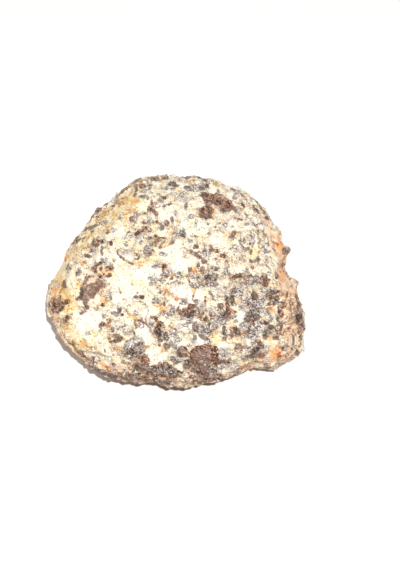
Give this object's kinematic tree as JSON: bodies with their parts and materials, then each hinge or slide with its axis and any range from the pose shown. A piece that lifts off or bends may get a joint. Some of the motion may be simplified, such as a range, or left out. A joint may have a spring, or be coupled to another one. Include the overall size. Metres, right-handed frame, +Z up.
{
  "type": "rough rock",
  "caption": "Rounded rough rock: a pale, grainy broken lump with rust-brown and grey grains, sharp broken rims and a flat underside that it rests on.",
  "frame": {"origin": "on the flat underside, at the middle of the bounding box seen from above", "axes": "+Z up, +X to the right as seen from the show side, which faces -Y and up"},
  "size_m": [0.119, 0.1084, 0.0733],
  "materials": {
    "stone": "rough, grainy, matt; cream matrix with ochre stains and rust-brown and grey grains"
  },
  "bodies": {
    "root": {"rock": "stone"}
  },
  "joints": []
}
